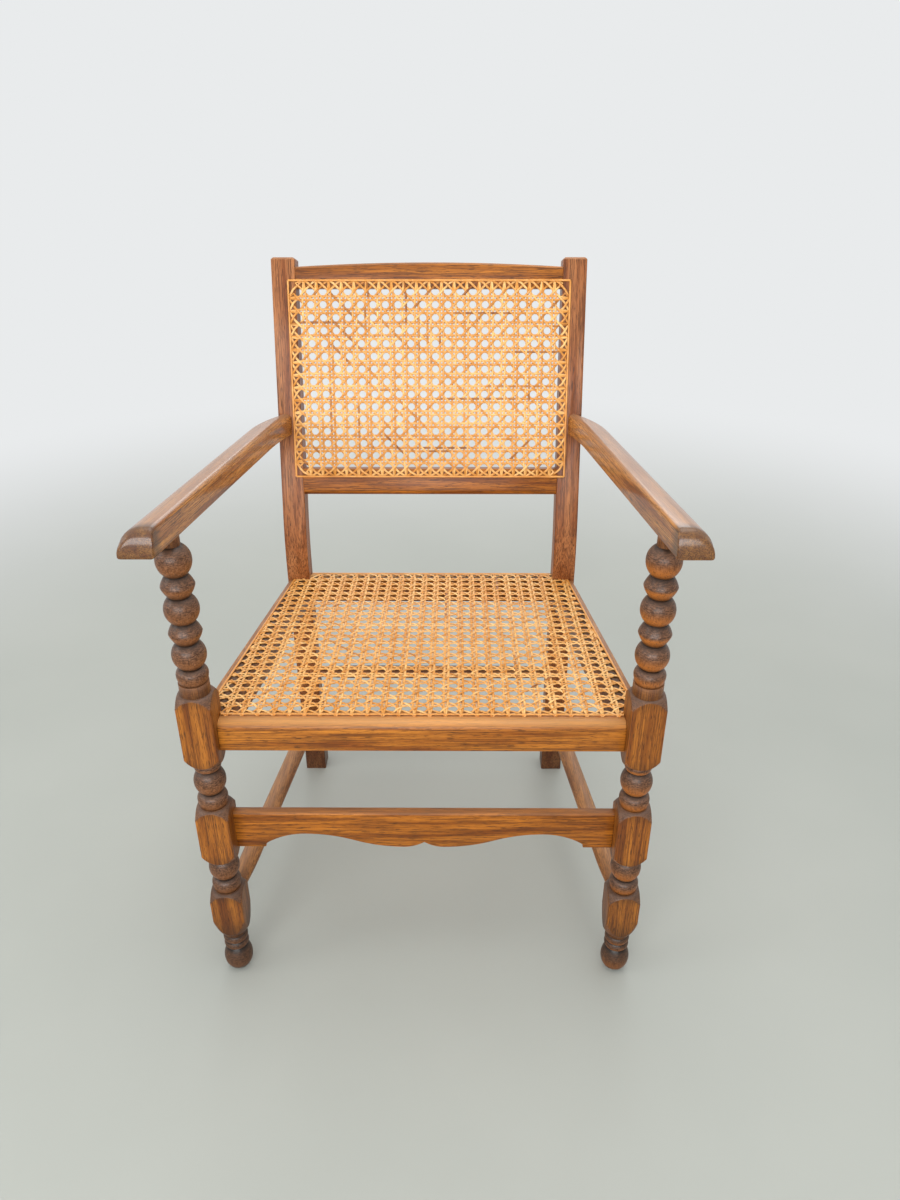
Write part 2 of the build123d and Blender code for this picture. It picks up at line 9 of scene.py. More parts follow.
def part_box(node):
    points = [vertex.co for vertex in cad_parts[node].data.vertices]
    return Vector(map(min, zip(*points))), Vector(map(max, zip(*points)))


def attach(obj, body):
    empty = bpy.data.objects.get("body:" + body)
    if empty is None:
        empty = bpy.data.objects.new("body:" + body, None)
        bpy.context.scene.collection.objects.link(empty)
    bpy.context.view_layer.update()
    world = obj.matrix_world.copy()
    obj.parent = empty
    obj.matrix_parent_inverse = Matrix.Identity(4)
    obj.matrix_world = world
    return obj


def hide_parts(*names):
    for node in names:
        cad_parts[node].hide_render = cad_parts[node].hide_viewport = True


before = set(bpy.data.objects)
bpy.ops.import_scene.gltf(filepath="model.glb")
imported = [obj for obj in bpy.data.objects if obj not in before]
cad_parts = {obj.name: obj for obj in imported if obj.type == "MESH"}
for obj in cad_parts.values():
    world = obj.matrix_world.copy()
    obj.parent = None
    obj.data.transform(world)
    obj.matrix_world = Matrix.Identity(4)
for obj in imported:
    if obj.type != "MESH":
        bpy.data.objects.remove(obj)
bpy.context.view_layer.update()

mm = 0.001  # the chair's sizes are written in millimetres, and the frame is in metres

# Front legs
# Each leg is one length of square oak, left square where a rail or stretcher meets it and turned
# to balls, reels and rings between. The turned work took more stain than the planed flats.
leg_sides = 120
half_block = 21.0
arris = 1.2
collar_radius = 17.8
corner_radius = half_block * sqrt(2)
foot_radius = 10.0
shoulder = 16.0
foot_shoulder = 34.0
shoulder_curve = 0.6  # exponent of the arched shoulder: 1 is a straight cone, less is fuller
ledge = 0.05  # height of a corner that is cut square into the turning
bead_rows = 20
block_rows = 24
round_bead = 2.0  # exponent of the swell: 2 is part of a circle, less is a sharper rim
reel_bead = 1.22
line_stain = 0.4  # share of the dark stain, which is 1 on the beads
shoulder_stain = 0.8
stain_edge = 0.8  # the stain ends over this depth, where the turning runs out on a flat
line_dirt_and_shade = 0.5  # darker in the corner at the foot of a line, and at the foot of a block: dirt and painted shade
collar_dirt_and_shade = 0.6
shoulder_dirt_and_shade = 0.4
leg_parts = (  # form, top level, widest radius, radius at the top, roundness or lower shoulder
    ("bead", 40.2, 19.3, 12.0, round_bead),
    ("bead", 52.2, 16.6, 14.0, round_bead),
    ("bead", 64.1, 16.6, 14.0, round_bead),
    ("line", 73.0, 15.0, 15.0, 0),
    ("block", 150.0, corner_radius, collar_radius, foot_shoulder),
    ("step", 150.0, 16.6, 16.6, 0),
    ("bead", 171.0, 18.8, 12.5, round_bead),
    ("bead", 205.0, 19.7, 12.5, round_bead),
    ("block", 293.0, corner_radius, collar_radius, shoulder),
    ("step", 293.0, 16.6, 16.6, 0),
    ("bead", 314.1, 18.8, 12.0, round_bead),
    ("bead", 348.4, 19.7, 12.0, round_bead),
    ("bead", 361.0, 16.6, 14.5, round_bead),
    ("block", 462.0, corner_radius, collar_radius, shoulder),
    ("line", 477.0, collar_radius, collar_radius, 0),
    ("step", 477.0, 16.4, 16.4, 0),
    ("bead", 497.1, 18.6, 12.0, round_bead),
    ("bead", 529.6, 19.7, 12.0, round_bead),
    ("bead", 556.1, 18.9, 12.0, reel_bead),
    ("bead", 588.6, 19.7, 12.0, round_bead),
    ("bead", 615.0, 18.9, 12.0, reel_bead),
    ("bead", 650.0, 19.7, 10.0, round_bead),
    ("line", 663.0, 10.0, 10.0, 0),
)


def leg_outline():
    """Levels up the leg, each with its turned radius, its darkening by dirt and painted shade, and
    its share of the stain.
    """
    rows = [(0.0, foot_radius, 0.0, 1.0)]
    for form, top, widest, end, shape in leg_parts:
        low, start = rows[-1][:2]
        if form == "step":
            rows.append((top + ledge, end, 0.0, 0.0))
        elif form == "line":
            rows.append((low + ledge, end, line_dirt_and_shade, line_stain))
            rows.append((top, end, 0.0, line_stain))
        elif form == "bead":
            for step in range(1, bead_rows + 1):
                share = (1 - cos(pi * step / bead_rows)) / 2
                base = start + share * (end - start)
                swell = 1 - abs(2 * share - 1) ** shape
                radius = sqrt(base**2 + swell * (widest**2 - base**2))
                # Each bead darkens towards the grooves beside it: dirt and painted shade.
                rows.append((low + share * (top - low), radius, (1 - swell) ** 2, 1.0))
        else:
            rows.append((low + ledge, collar_radius, collar_dirt_and_shade, shoulder_stain))
            shares = [step / block_rows for step in range(block_rows + 1)]
            rising = [(low + shape * share, share) for share in shares[1:]]
            falling = [(top - shoulder * share, share) for share in reversed(shares)]
            for level, share in rising + falling:
                radius = collar_radius + (widest - collar_radius) * share**shoulder_curve
                rows.append((level, radius, shoulder_dirt_and_shade * (1 - share), shoulder_stain))
    return rows


def square_radius(turn):
    """Distance from the axis to the side of the squared stock with its eased corners."""
    across = abs(cos(turn))
    along = abs(sin(turn))
    side = half_block / max(across, along)
    eased_corner = (2 * half_block - arris) / (across + along)
    return min(side, eased_corner)


def linear(code):
    """sRGB hex colour as linear red, green, blue and alpha."""
    parts = [int(code[at:at + 2], 16) / 255 for at in (1, 3, 5)]
    straight = [
        part / 12.92 if part <= 0.04045 else ((part + 0.055) / 1.055) ** 2.4 for part in parts
    ]
    return straight + [1.0]


def bare_tree(owner):
    """Node tree of a material or a world, emptied of the nodes that it starts with."""
    owner.use_nodes = True
    owner.node_tree.nodes.clear()
    return owner.node_tree


def add(tree, kind, sockets=(), **settings):
    """Node with its settings, and with each named input set or linked."""
    made = tree.nodes.new(kind)
    for key, value in settings.items():
        setattr(made, key, value)
    for key, value in dict(sockets).items():
        if isinstance(value, bpy.types.NodeSocket):
            tree.links.new(value, made.inputs[key])
        else:
            made.inputs[key].default_value = value
    return made


# Stained and waxed oak: orange brown, with dark growth lines and short open pores along the grain,
# paler where it faces up as painted sheen of the bright backdrop, and dirty near the floor. Turned
# work is darker and streaked round by the lathe, darker in its grooves with dirt and painted
# shade, and painted orange as bounce light on the undersides of its beads.
dirt_height = 230.0


def waxed_oak(name, grain, tones, wax=0.1, top_light_and_wear=("#b98a64", 0.35), bounce_light=None, floor_dirt=0.0):
    """Oak with its grain turned from upright, two tones of figure and a tone of painted light for
    its tops.

    Turned work also says how strongly the undersides of its beads are painted orange, as bounce
    light.
    """
    material = bpy.data.materials.new(name)
    tree = bare_tree(material)
    place = add(tree, "ShaderNodeTexCoord").outputs["Object"]

    def marks(size, low, high, strength=1.0):
        """Marks of a size in millimetres, as a share that grows between two levels of noise."""
        laid = add(
            tree,
            "ShaderNodeMapping",
            {"Vector": place, "Rotation": grain, "Scale": Vector(size) * mm},
            vector_type="TEXTURE",
        )
        noise = add(
            tree, "ShaderNodeTexNoise", {"Vector": laid.outputs[0], "Scale": 1.0, "Detail": 2.0}
        )
        share = add(
            tree,
            "ShaderNodeMapRange",
            {"Value": noise.outputs["Fac"], "From Min": low, "From Max": high, "To Max": strength},
        )
        return share.outputs[0]

    figure = marks((9, 9, 160), 0.33, 0.67)
    growth = marks((1.1, 1.1, 70), 0.5, 0.58, 0.7)
    pores = marks((0.8, 0.8, 14), 0.44, 0.38, 0.7)
    wear = marks((45, 45, 120), 0.3, 0.7)
    patches = marks((25, 25, 70), 0.55, 0.72, 0.25)
    tilt = add(tree, "ShaderNodeAttribute", attribute_name="tilt").outputs["Fac"]
    first_tone, second_tone = tones
    layers = [  # laid over the first tone, each by its share
        (figure, linear(second_tone)),
        (patches, linear("#5a2f10")),
        (growth, linear("#54290a")),
    ]
    if bounce_light is not None:
        streaks = marks((3.6, 3.6, 1.1), 0.36, 0.64)
        stained = add(
            tree,
            "ShaderNodeMix",
            {"Factor": streaks, 6: linear("#2f1e15"), 7: linear("#7a553d")},
            data_type="RGBA",
        ).outputs[2]
        # Undersides of the beads are painted orange, as bounce light from the warm cane and floor.
        under = add(
            tree,
            "ShaderNodeMapRange",
            {"Value": tilt, "From Min": 0.2, "From Max": -0.35, "To Max": bounce_light},
        ).outputs[0]
        stained = add(
            tree,
            "ShaderNodeMix",
            {"Factor": under, 6: stained, 7: linear("#b4671f")},
            data_type="RGBA",
        ).outputs[2]
        turned = add(tree, "ShaderNodeAttribute", attribute_name="turned").outputs["Fac"]
        share = add(tree, "ShaderNodeMath", {0: turned, 1: 0.9}, operation="MULTIPLY").outputs[0]
        layers.append((share, stained))
    # Upward faces take the top tone: a paler painted sheen of the bright backdrop, or on the stick
    # under the seat a darker painted shade.
    top_colour, most = top_light_and_wear
    upper = add(
        tree,
        "ShaderNodeMapRange",
        {"Value": tilt, "From Min": 0.35, "From Max": 0.9, "To Max": most},
    ).outputs[0]
    # Darker marks from the pieces: dirt and painted shade in grooves and under the cane, stain and
    # a painted dark reflection on the arms' noses.
    grooves = add(tree, "ShaderNodeAttribute", attribute_name="stain_dirt_and_shade").outputs["Fac"]
    height = add(tree, "ShaderNodeSeparateXYZ", {"Vector": place}).outputs["Z"]
    darkness = add(
        tree,
        "ShaderNodeMapRange",
        {"Value": height, "From Min": dirt_height * mm, "From Max": 0.0, "To Max": floor_dirt},
    ).outputs[0]
    stain_dirt_and_shade = add(
        tree, "ShaderNodeMath", {0: grooves, 1: darkness}, operation="ADD", use_clamp=True
    ).outputs[0]
    layers += [(pores, linear("#361a07")), (upper, linear(top_colour)), (stain_dirt_and_shade, linear("#1d120a"))]
    colour = linear(first_tone)
    for share, over in layers:
        colour = add(
            tree, "ShaderNodeMix", {"Factor": share, 6: colour, 7: over}, data_type="RGBA"
        ).outputs[2]
    polish = add(
        tree, "ShaderNodeMapRange", {"Value": wear, "To Min": 0.52, "To Max": 0.38}
    ).outputs[0]
    relief = add(
        tree, "ShaderNodeBump", {"Strength": 0.3, "Distance": -0.2 * mm, "Height": pores}
    ).outputs[0]
    surface = add(
        tree,
        "ShaderNodeBsdfPrincipled",
        {
            "Base Color": colour,
            "Roughness": polish,
            "Normal": relief,
            "Specular IOR Level": 0.28,
            "Coat Weight": wax,
            "Coat Roughness": 0.15,
        },
    )
    add(tree, "ShaderNodeOutputMaterial", {"Surface": surface.outputs[0]})
    return material


upright = (0, 0, 0)
turned_oak = {}
for side, bounce_light in (("left", 0.3), ("right", 0.8)):  # the right leg gets more painted bounce light, as more light falls on it
    turned_oak[side] = waxed_oak(
        f"stained_oak_turned_{side}",
        upright,
        ("#743c0a", "#a86620"),
        top_light_and_wear=("#8c7060", 0.5),
        bounce_light=bounce_light,
        floor_dirt=0.5,
    )


def tube_mesh(name, rows):
    """Closed mesh through rows of points round a piece, with a face over each end."""
    count = len(rows[0])
    faces = []
    for row in range(len(rows) - 1):
        here = row * count
        for step in range(count):
            after = (step + 1) % count
            faces.append((here + step, here + after, here + count + after, here + count + step))
    faces.append(tuple(reversed(range(count))))
    faces.append(tuple(range((len(rows) - 1) * count, len(rows) * count)))
    mesh = bpy.data.meshes.new(name)
    mesh.from_pydata([point for row in rows for point in row], [], faces)
    return mesh


def note(mesh, name, values):
    """Writes a value on each point of a mesh, for its material to read."""
    mesh.attributes.new(name, "FLOAT", "POINT").data.foreach_set("value", values)


scene = bpy.context.scene


def finish_piece(mesh, material, node):
    """Hands a finished mesh over to the chair's body, in place of the solid that it stands for."""
    mesh.materials.clear()
    mesh.materials.append(material)
    piece = bpy.data.objects.new(mesh.name, mesh)
    scene.collection.objects.link(piece)
    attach(piece, "root")
    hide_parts(node)


crease = radians(35)  # faces that meet at more than this are shaded as a corner


def oak_piece(mesh, material, node):
    """Shades a piece of oak, and notes on it how far each point faces up or down."""
    mesh.shade_smooth()
    mesh.set_sharp_from_angle(angle=crease)
    note(mesh, "tilt", [normal.vector.z for normal in mesh.vertex_normals])
    finish_piece(mesh, material, node)


def turned_leg(side):
    """Leg with its turned outline cut by the squared stock, which leaves the flats of blocks."""
    low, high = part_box(f"front_leg_{side}")
    axis = Vector(((low.x + high.x) / 2, (low.y + high.y) / 2, 0))
    turns = [2 * pi * step / leg_sides for step in range(leg_sides)]
    rows, turned, stain_dirt_and_shade = [], [], []
    for level, radius, darkness, stain in leg_outline():
        row = []
        for turn in turns:
            flat = square_radius(turn)
            reach = min(radius, flat)
            row.append(axis + Vector((reach * cos(turn), reach * sin(turn), level)) * mm)
            turned.append(stain * min(1.0, max(0.0, (flat - radius) / stain_edge)))
            stain_dirt_and_shade.append(darkness)
        rows.append(row)
    mesh = tube_mesh(f"turned_leg_{side}", rows)
    note(mesh, "turned", turned)
    note(mesh, "stain_dirt_and_shade", stain_dirt_and_shade)
    oak_piece(mesh, turned_oak[side], f"front_leg_{side}")


hands = {"left": -1, "right": 1}  # sign of each side across the chair
for side in hands:
    turned_leg(side)

# Rear posts
# Plain square oak posts, sawn with a bend above the seat so that the back leans, and planed.
# Their long corners are only just rounded over.
back_rake = radians(13.7)
raked = (-back_rake, 0, 0)
weld = 0.01  # points nearer than this are one
flat_angle = radians(0.5)  # faces that meet at less than this are one
corner_angle = radians(30)  # and at more than this a corner to round over
facing_up = 0.8  # upward part of the normal of a face that counts as a rail's top
order_line = Vector((0.9, 1.7, 2.3))  # slanting, so that no two points share a place along it


def planed_piece(node, material, ease=0.8, cane_line=None):
    """Copy of a solid with eased corners, and with its top darker inside a line of cane: dust, and
    painted shade of the cane.
    """
    work = bmesh.new()
    work.from_mesh(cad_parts[node].data)
    bmesh.ops.remove_doubles(work, verts=work.verts, dist=weld * mm)
    bmesh.ops.dissolve_limit(work, angle_limit=flat_angle, verts=work.verts, edges=work.edges)
    joined = [edge for edge in work.edges if edge.is_manifold]
    corners = [edge for edge in joined if edge.calc_face_angle() > corner_angle]
    bmesh.ops.bevel(
        work,
        geom=corners,
        offset=ease * mm,
        segments=2,
        profile=0.5,
        affect="EDGES",
        clamp_overlap=True,
    )
    if cane_line:
        place, outwards, darkness = cane_line
        everything = work.verts[:] + work.edges[:] + work.faces[:]
        bmesh.ops.bisect_plane(work, geom=everything, plane_co=place, plane_no=outwards)
        # Faces on the top inside the line of cane are painted darker: dust, and the shade of the
        # cane over them.
        stain_dirt_and_shade = work.faces.layers.float.new("stain_dirt_and_shade")
        for face in work.faces:
            covered = (face.calc_center_median() - place).dot(outwards) < 0
            face[stain_dirt_and_shade] = darkness if covered and face.normal.z > facing_up else 0.0
        # A cut leaves points and faces in an order that changes from run to run.
        work.verts.sort(key=lambda vert: vert.co.dot(order_line))
        work.faces.sort(key=lambda face: face.calc_center_median().dot(order_line))
    mesh = bpy.data.meshes.new(f"planed_{node}")
    work.to_mesh(mesh)
    work.free()
    oak_piece(mesh, material, node)


post_oak = waxed_oak("stained_oak_planed_posts", raked, ("#83461c", "#b17242"), floor_dirt=0.65)
for side in hands:
    planed_piece(f"rear_post_{side}", post_oak)

# Seat frame
# Four oak rails tenoned into the legs and posts. Their upper faces are drilled for the cane,
# and the front rail's upper corner is rounded where the sitter's legs rest.
crosswise = (0, radians(90), 0)
lengthwise = (radians(-90), 0, 0)
side_oak = waxed_oak("stained_oak_planed_lengthwise", lengthwise, ("#834b1c", "#b87a3c"))
# The front rail's rounded top gets a strong painted sheen in its top tone.
cross_oak = waxed_oak(
    "stained_oak_planed_crosswise", crosswise, ("#86460c", "#c47a28"), top_light_and_wear=("#d69e62", 0.6)
)
side_rail_front = (267.0, 30.0)  # outer face from the middle, and depth behind the front rail
side_rail_rear = (227.5, 430.5)
side_line = 8.7  # line of holes from a side rail's outer face
rear_line = 453.8  # and behind the front rail's face
under_cane_dust_and_shade = 0.75  # the wood under the cane is darker: dust and stain never cleaned off, and painted shade of the cane over it
seat_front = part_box("seat_rail_front")[0].y
rear_place = Vector((0, seat_front + rear_line * mm, 0))
planed_piece("seat_rail_front", cross_oak)
planed_piece("seat_rail_rear", cross_oak, cane_line=(rear_place, Vector((0, 1, 0)), under_cane_dust_and_shade))
side_fall = (side_rail_rear[0] - side_rail_front[0]) / (side_rail_rear[1] - side_rail_front[1])
for side, hand in hands.items():
    line_start = (side_rail_front[0] - side_line) * mm
    side_place = Vector((hand * line_start, seat_front + side_rail_front[1] * mm, 0))
    outwards = Vector((hand, -side_fall, 0)).normalized()
    planed_piece(f"seat_rail_{side}", side_oak, cane_line=(side_place, outwards, under_cane_dust_and_shade))

# Front stretcher
# A thin oak board tenoned between the front legs, with its lower edge sawn to a double ogee
# and a narrow bevel along its upper front corner.
board_oak = waxed_oak("stained_oak_planed_boards", crosswise, ("#7c4008", "#b86e1e"), wax=0.05)
planed_piece("stretcher_front", board_oak, ease=0.5)

# Side and rear stretchers
# Turned oak sticks, thickest in the middle and tapered to round tenons in the legs and posts.
# The rear one lies under the seat, where its top is darker: old stain, and painted shade of the
# seat above.
stick_sides = 40
stick_rows = 60
stick_end_radius = 9.0
stick_taper = 75.0
stick_entry = 2.0  # end of a stick inside the leg or post
side_stick_radius = 13.0
side_stick_level = 114.0
rear_stick_radius = 11.0
rear_stick_level = 199.0
half_post = 17.0
stick_tones = ("#834b1c", "#b87a3c")
stick_oak = waxed_oak(
    "stained_oak_turned_sticks", lengthwise, stick_tones, top_light_and_wear=("#b08a68", 0.4)
)
# Its top tone is dark: painted shade under the seat, with old stain.
rear_stick_oak = waxed_oak(
    "stained_oak_turned_shaded_under_seat", crosswise, stick_tones, top_light_and_wear=("#2c1608", 0.9)
)


def turned_stick(node, start, end, radius, material):
    """Round stick between two places, with tapered ends."""
    along = end - start
    turn = along.to_track_quat("Z", "Y").to_matrix()
    length = along.length / mm
    angles = [2 * pi * step / stick_sides for step in range(stick_sides)]
    rows = []
    for row in range(stick_rows + 1):
        level = length * row / stick_rows
        share = min(1.0, min(level, length - level) / stick_taper)
        here = stick_end_radius + (radius - stick_end_radius) * sin(pi / 2 * share)
        ring = [Vector((here * cos(angle), here * sin(angle), level)) for angle in angles]
        rows.append([start + turn @ point * mm for point in ring])
    oak_piece(tube_mesh(f"turned_{node}", rows), material, node)


for side in hands:
    leg_low, leg_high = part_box(f"front_leg_{side}")
    post_low, post_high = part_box(f"rear_post_{side}")
    leg_face = leg_high.y - stick_entry * mm
    post_face = post_low.y + stick_entry * mm
    leg_end = Vector(((leg_low.x + leg_high.x) / 2, leg_face, side_stick_level * mm))
    post_end = Vector(((post_low.x + post_high.x) / 2, post_face, side_stick_level * mm))
    turned_stick(f"stretcher_{side}", leg_end, post_end, side_stick_radius, stick_oak)
post_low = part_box("rear_post_right")[0]
rear_middle = Vector((0, post_low.y + half_post * mm, rear_stick_level * mm))
half_stick = Vector((post_low.x + stick_entry * mm, 0, 0))
turned_stick(
    "stretcher_rear",
    rear_middle - half_stick,
    rear_middle + half_stick,
    rear_stick_radius,
    rear_stick_oak,
)

# Back frame
# The crest rail is sawn to a low arch on top, and the lower rail has a rounded lower corner.
# Both are planed oak, tenoned between the posts and drilled for the cane.
planed_piece("crest_rail", board_oak)
planed_piece("back_lower_rail", board_oak)

# Arms
# Oak planks that slope down to the posts, with a nose rolled over in front and an outer corner
# that is rounded off more and more towards the nose. Hands have rubbed their tops smooth.
arm_underside = 660.0  # height at the front leg
arm_slope = radians(5.4)
arm_lean = radians(4.4)  # turn of the grain in plan, along the middle of the plank
arm_thickness = 31.0
arm_nose = -69.0  # places along the arm start at the axis of the front leg
arm_sweep = 372.8  # both sides curve in from here to the post
arm_post = 467.8
arm_end = arm_post + 6.0  # inside the post
arm_inner = (257.5, 225.0, 209.0)  # inner side from the middle, at nose, sweep and post
arm_outer = (295.2, 259.0, 230.2)
arm_roll = 12.0  # the nose is rolled over by this much along the arm and this much down
arm_drop = 28.5
roll_shape = 2.4  # exponent of the roll: 2 is part of an ellipse, more has a tighter upper corner
outer_round = (25.5, 12.0)  # at the nose and at the post
inner_round = (4.5, 9.0)
under_round = 1.8
under_room = 1.5 * under_round  # height that the upper roundings leave to the lower ones
nose_corner = 3.0  # rounding of the nose in plan
nose_stain_and_reflection = 0.6  # the end grain of the nose took more stain, and its upper roll is painted darker as a dark reflection
corner_steps = 8
roll_rows = 14
plank_rows = 40


def arm_side(run, sizes):
    """Distance of a side from the middle: straight to the sweep, then curved in to the post."""
    nose, sweep, post = sizes
    lean = (sweep - nose) / (arm_sweep - arm_nose)
    if run < arm_sweep:
        return nose + lean * (run - arm_nose)
    length = arm_post - arm_sweep
    past = min(run - arm_sweep, length)
    bend = (post - sweep - lean * length) / length**2
    return sweep + lean * past + bend * past**2


def arm_section(run):
    """Outline across the right arm, from the top over the outer side and along the underside."""
    past = run - arm_nose
    top = arm_thickness
    if past < arm_roll:
        fall = (1 - past / arm_roll) ** roll_shape
        top -= arm_drop * (1 - (1 - fall) ** (1 / roll_shape))
    cut = 0.0
    if past < nose_corner:
        cut = nose_corner - sqrt(nose_corner**2 - (nose_corner - past) ** 2)
    inner = arm_side(run, arm_inner) + cut / 2
    outer = arm_side(run, arm_outer) - cut
    share = past / (arm_end - arm_nose)
    room = top - under_room
    big = min(outer_round[0] + share * (outer_round[1] - outer_round[0]), room)
    small = min(inner_round[0] + share * (inner_round[1] - inner_round[0]), room)
    corners = (  # centre across and up, radius, and angle that the rounding starts from
        (outer - big, top - big, big, 90),
        (outer - under_round, under_round, under_round, 0),
        (inner + under_round, under_round, under_round, -90),
        (inner + small, top - small, small, -180),
    )
    points = []
    for across, up, radius, start in corners:
        for step in range(corner_steps + 1):
            angle = radians(start - 90 * step / corner_steps)
            points.append((across + radius * cos(angle), up + radius * sin(angle)))
    return points


leg_low, leg_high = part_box("front_leg_right")
arm_origin = Vector((0, (leg_low.y + leg_high.y) / 2, arm_underside * mm))
arm_along = Vector((0, cos(arm_slope), -sin(arm_slope))) * mm
arm_up = Vector((0, sin(arm_slope), cos(arm_slope))) * mm
roll_turns = [pi / 2 * step / roll_rows for step in range(roll_rows)]
arm_runs = [arm_nose + arm_roll * (1 - cos(turn)) for turn in roll_turns]
plank_start = arm_nose + arm_roll
plank_length = arm_end - plank_start
arm_runs += [plank_start + plank_length * step / plank_rows for step in range(plank_rows + 1)]
for side, hand in hands.items():
    rows, stain_dirt_and_shade = [], []
    for run in arm_runs:
        place = arm_origin + arm_along * run
        section = arm_section(run)
        row = [place + Vector((hand * across * mm, 0, 0)) + arm_up * up for across, up in section]
        rows.append(row[::hand])
        # The nose and the top just behind it are darker: stain in the end grain, and a painted
        # dark reflection on the roll.
        stain = nose_stain_and_reflection * min(1.0, max(0.0, 2 - (run - arm_nose) / arm_roll))
        stain_dirt_and_shade += [stain] * len(row)
    # The paler tone on the tops is partly wear from hands and partly painted sheen of the bright
    # backdrop.
    arm_oak = waxed_oak(
        f"stained_oak_rubbed_and_sheen_arm_{side}",
        (radians(-90) - arm_slope, 0, hand * arm_lean),
        ("#8a4c1a", "#c4853f"),
        wax=0.6,
        top_light_and_wear=("#a27c60", 0.6),
    )
    mesh = tube_mesh(f"shaped_arm_{side}", rows)
    note(mesh, "stain_dirt_and_shade", stain_dirt_and_shade)
    oak_piece(mesh, arm_oak, f"arm_{side}")

# Seat and back cane
# Split rattan strands woven by hand in six ways: pairs across and pairs lengthwise that lock each
# other, and single strands on both diagonals. Each strand ends in a hole, under the binder.
strand_width = 3.1
strand_thickness = 0.9
pair_spacing = 5.2
border = 1.25  # from a line of holes to the first pair beside it, in spaces between pairs
lock_rise = 0.5  # a strand of a pair above or below the middle of the weave
cross_rise = 1.0  # a diagonal above or below it
weave_level = 1.5  # middle of the weave above the frame
hole_depth = 2.0
hole_bend = 2.5  # a strand lies level from this far off its hole
end_gap = 4.0  # no crossing is nearer to the end of a strand
overrun = 3  # crossings past the panel on each diagonal, for the strands that start outside it
tolerance = 1e-6


def clip(point, direction, edges):
    """Part of a straight line inside a convex outline of (across, along, limit) half planes."""
    first, last = float("-inf"), float("inf")
    for across, along, limit in edges:
        speed = across * direction[0] + along * direction[1]
        room = limit - across * point[0] - along * point[1]
        if abs(speed) < tolerance:
            if room < 0:
                return None
        elif speed > 0:
            last = min(last, room / speed)
        else:
            first = max(first, room / speed)
    return (first, last) if last - first > tolerance else None


def strand(point, direction, edges, crossings, holes):
    """Points of one strand from hole to hole, with its height at each crossing on the way."""
    span = clip(point, direction, edges)
    if span is None:
        return None

    def at(distance):
        return point[0] + direction[0] * distance, point[1] + direction[1] * distance

    def hole_near(place):
        return min(holes, key=lambda hole: (hole[0] - place[0]) ** 2 + (hole[1] - place[1]) ** 2)

    first, last = span
    middle = [
        (*at(distance), height)
        for distance, height in sorted(crossings)
        if first + end_gap < distance < last - end_gap
    ]
    ends = []
    for distance, nearest in ((first, middle[:1]), (last, middle[-1:])):
        hole = hole_near(at(distance))
        inner = nearest[0] if nearest else at((first + last) / 2)
        aside, ahead = inner[0] - hole[0], inner[1] - hole[1]
        share = min(0.5, hole_bend / max(sqrt(aside**2 + ahead**2), tolerance))
        level_point = (hole[0] + share * aside, hole[1] + share * ahead, 0.0)
        ends.append([(*hole, -hole_depth), level_point])
    if ends[0][0][:2] == ends[1][0][:2]:
        return None
    return ends[0] + middle + ends[1][::-1]


def woven_strands(lengthwise_places, cross_places, edges, holes):
    """All strands of a panel, from the places of the pairs that run each way."""
    half = pair_spacing / 2
    strands = []
    for direction, places, others, order in (
        ((0.0, 1.0), lengthwise_places, cross_places, 1),
        ((1.0, 0.0), cross_places, lengthwise_places, -1),
    ):
        for place in places:
            for twin in (-1, 1):
                start = place + twin * half
                crossings = [
                    (other + end * half, order * twin * end * lock_rise)
                    for other in others
                    for end in (-1, 1)
                ]
                point = (start * direction[1], start * direction[0])
                strands.append(strand(point, direction, edges, crossings, holes))
    pitch_across = lengthwise_places[1] - lengthwise_places[0]
    pitch_along = cross_places[1] - cross_places[0]
    length = sqrt(pitch_across**2 + pitch_along**2)
    steps = len(lengthwise_places) + len(cross_places)
    for lean in (1, -1):
        direction = (lean * pitch_across / length, pitch_along / length)
        crossings = []
        for count in range(-overrun, len(cross_places) + overrun):
            for offset in (-half / pitch_along, half / pitch_along):
                crossings.append(((count + offset) * length, -lean * cross_rise))
                crossings.append(((count + 0.5 + offset) * length, lean * cross_rise))
        for step in range(-steps, steps):
            start = (lengthwise_places[0] + (step + 0.5) * pitch_across, cross_places[0])
            strands.append(strand(start, direction, edges, crossings, holes))
    return [points for points in strands if points]


def path_mesh(name, paths, tones):
    """Mesh of open paths, with a tone of colour for each point."""
    points, links, shades = [], [], []
    for path, path_tones in zip(paths, tones):
        first = len(points)
        points.extend(Vector(point) * mm for point in path)
        shades.extend(path_tones)
        links.extend((at, at + 1) for at in range(first, len(points) - 1))
    mesh = bpy.data.meshes.new(name)
    mesh.from_pydata(points, links, [])
    note(mesh, "tone", shades)
    return mesh


